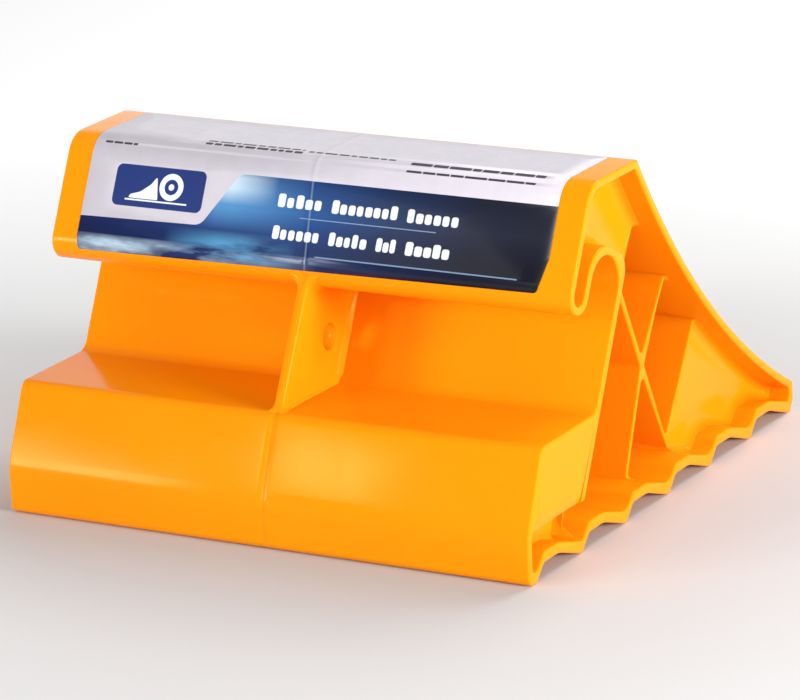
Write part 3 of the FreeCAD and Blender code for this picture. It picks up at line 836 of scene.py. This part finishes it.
def label_print():
    """Each ink's shapes, in the order that they are laid down: X, and the distance down the wrap."""
    field = rounded([(-LABEL_HALF - 1, 29.6, 0), (-45.6, 28.6, 5.0), (-32.6, 8.2, 5.0), (LABEL_HALF + 1, 8.2, 0),
                     (LABEL_HALF + 1, 46, 0), (-LABEL_HALF - 1, 46, 0)])
    badge = [box(-85.0, 8.8, -46.5, 24.4, 2.4)]
    wheel, hub, cap = ([disc(-60.6, 15.9, radius)] for radius in (5.1, 2.9, 1.2))
    wedge = [rounded([(-78.4, 21.2, 0.5), (-77.4, 19.8, 0.5), (-73.4, 18.6, 3.0), (-69.4, 15.6, 3.0),
                      (-67.2, 12.4, 0.4), (-65.6, 21.2, 0.4)], math.radians(20)), box(-79.5, 21.5, -53.0, 22.1)]
    words = []
    places = ((-15, 4, 18.8), (7.5, 35, 19.2), (38.5, 60, 19.6),
              (-15, 5, 30.6), (8.5, 24.5, 31.0), (28, 36.5, 31.2), (40, 58.5, 31.4))
    for k, (x0, x1, s) in enumerate(places):
        words += blocks(x0, x1, s, 200 + k)
    streaks = [box(-5, 21.9, 51, 22.3, 0.2), box(4, 35.4, 86, 35.9, 0.2)]
    grey = []
    for row in range(9):
        grey += bars(-51, 26, -9.0 - 2.3 * row, 0.85, 10 + row)
        grey += bars(34, 90, -9.6 - 2.3 * row, 0.85, 40 + row)
    for row in range(3):
        grey += bars(-88, -60, -27.0 + 2.0 * row, 0.8, 80 + row)
    rng = np.random.default_rng(5)
    x = -82.0
    while x < -61:
        thick = rng.uniform(0.3, 1.0)
        grey.append(box(x, -20.5, x + thick, -11.5))
        x += thick + rng.uniform(0.35, 0.9)
    ink = [*bars(-52, -11, -6.6, 1.6, 1, (2.0, 6.0), 0.7), *bars(-52, -11, -4.2, 1.5, 2, (2.0, 6.0), 0.7),
           *bars(-9, 27, -5.4, 1.3, 3, (2.0, 6.0), 0.7), *bars(34, 89, -4.4, 1.9, 4, (3.0, 9.0), 0.5),
           *bars(34, 86, 0.3, 1.0, 6, (3.0, 9.0), 0.5), *bars(-93, -79, 0.4, 1.0, 7, (2.0, 4.0), 0.5)]
    return [("label_blue", [field]), ("label_badge", badge), ("label_white", wheel + wedge), ("label_badge", hub),
            ("label_white", cap + words), ("label_streak", streaks), ("label_grey", grey), ("label_ink", ink)]


def make_label():
    """The label, one mesh cut along the outlines of its print, each face in its own ink."""
    edge = rounded([(-LABEL_HALF, LABEL_BACK, 1.0), (LABEL_HALF, LABEL_BACK, 1.0), (LABEL_HALF, 27.0, 2.0),
                    (94.2, LABEL_FOOT, 1.5), (-96.2, LABEL_FOOT + 2.6, 0.8), (-LABEL_HALF, 37.0, 2.0)])
    groups = label_print()
    points, edges = [], []

    def add(loop, closed=True):
        start = len(points)
        points.extend(Vector((float(p[0]), float(p[1]))) for p in loop)
        edges.extend((start + k, start + k + 1) for k in range(len(loop) - 1))
        if closed:
            edges.append((start + len(loop) - 1, start))

    add(edge)
    for _, shapes in groups:
        for shape in shapes:
            add(shape)
    for s in (*np.linspace(-ARC, ARC, 9), *BEND_LINES):
        add([(-LABEL_HALF - 2, s), (LABEL_HALF + 2, s)], closed=False)
    found, _, faces, _, _, _ = delaunay_2d_cdt(points, edges, [], 0, 1e-4)
    found = np.array([tuple(p) for p in found])
    centres = np.array([found[list(f)].mean(axis=0) for f in faces])
    kept = contains(edge, centres)
    names = ["label_paper"]
    ink = np.zeros(len(faces), int)
    for name, shapes in groups:
        if name not in names:
            names.append(name)
        for shape in shapes:
            ink[contains(shape, centres)] = names.index(name)
    used = sorted({k for f, ok in zip(faces, kept) if ok for k in f})
    renumber = {k: i for i, k in enumerate(used)}
    places = [(found[k][0], *wrapped(float(found[k][1]))) for k in used]
    loops = [tuple(renumber[k] for k in f)[::-1] for f, ok in zip(faces, kept) if ok]
    materials = {"label_paper": printed("label_paper", srgb(208, 202, 211), 0.34), "label_blue": night_blue()}
    for name, colour in (("label_badge", (8, 42, 114)), ("label_white", (236, 240, 246)),
                         ("label_streak", (120, 148, 180)), ("label_grey", (196, 192, 201)),
                         ("label_ink", (70, 62, 72))):
        materials[name] = printed(name, srgb(*colour))
    label = make_piece("printed_sheet", places, loops, materials[names[0]], smooth=60)
    for name in names[1:]:
        label.data.materials.append(materials[name])
    indices = [int(i) for i, ok in zip(ink, kept) if ok]
    if len(indices) != len(label.data.polygons):
        raise RuntimeError("the label lost faces")
    label.data.polygons.foreach_set("material_index", indices)
    solid = label.modifiers.new("thickness", "SOLIDIFY")
    solid.thickness = FILM * MM
    solid.offset = -1.0
    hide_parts("printed_label")


make_label()


# ------------------------------------------------------------ camera, light and floor

def make_camera():
    """A long lens from the right of the handle side, level to within a slight roll."""
    azimuth, elevation, roll = (math.radians(a) for a in (29.74, 16.85, -2.47))
    target, distance = Vector((33.14, -63.09, 65.00)) * MM, 1.6963
    back = Vector((math.sin(azimuth) * math.cos(elevation), -math.cos(azimuth) * math.cos(elevation),
                   math.sin(elevation)))
    right = Vector((0, 0, 1)).cross(back).normalized()
    up = back.cross(right)
    right, up = math.cos(roll) * right + math.sin(roll) * up, math.cos(roll) * up - math.sin(roll) * right
    data = bpy.data.cameras.new("camera")
    data.lens, data.sensor_width = 212.3, 36.0
    data.clip_start, data.clip_end = 0.05, 50.0
    camera = bpy.data.objects.new("camera", data)
    bpy.context.scene.collection.objects.link(camera)
    turn = Matrix((right, up, back)).transposed()
    camera.matrix_world = Matrix.Translation(target + back * distance) @ turn.to_4x4()
    bpy.context.scene.camera = camera


def area_light(name, where, power, size):
    """A square white light that faces the middle of the chock."""
    data = bpy.data.lights.new(name, "AREA")
    data.energy, data.size = power, size
    light = bpy.data.objects.new(name, data)
    bpy.context.scene.collection.objects.link(light)
    light.location = where
    light.rotation_euler = (Vector((0, 0, 0.05)) - Vector(where)).to_track_quat("-Z", "Y").to_euler()


def make_floor():
    """A wide paper floor, with painted shade: darker around the chock, pale further out."""
    mesh = bpy.data.meshes.new("floor")
    mesh.from_pydata([(-6, -6, 0), (6, -6, 0), (6, 6, 0), (-6, 6, 0)], [], [(0, 1, 2, 3)])
    floor = bpy.data.objects.new("floor", mesh)
    bpy.context.scene.collection.objects.link(floor)
    s = Shader("floor_paper")
    s.set(Roughness=0.7, Specular_IOR_Level=0.2)
    length = s.node("ShaderNodeVectorMath", operation="LENGTH")
    s.link(s.at, length.inputs[0])
    # painted shade: the floor's colour darkens towards the chock
    away = s.span(length.outputs["Value"], 0.16, 0.55)
    s.link(s.ramp(away, [(0.0, (0.62, 0.62, 0.62)), (1.0, (0.95, 0.95, 0.95))]), s.bsdf.inputs["Base Color"])
    mesh.materials.append(s.material)


def make_world():
    """Even white light from all around."""
    world = bpy.data.worlds.new("studio")
    world.use_nodes = True
    background = world.node_tree.nodes["Background"]
    background.inputs["Color"].default_value = (1, 1, 1, 1)
    background.inputs["Strength"].default_value = 0.37
    bpy.context.scene.world = world


make_camera()
make_world()
make_floor()
area_light("key", (-1.12, -1.25, 0.26), 13.5, 0.42)
area_light("right_side", (1.55, -0.30, 0.42), 28, 0.5)
area_light("left_strip", (-0.68, -1.38, 0.636), 3.4, 0.20)
area_light("backdrop", (-0.95, 1.66, 0.62), 3.4, 1.2)
area_light("top", (0.2, 0.9, 1.3), 14, 0.7)
bpy.context.scene.view_settings.view_transform = "Standard"
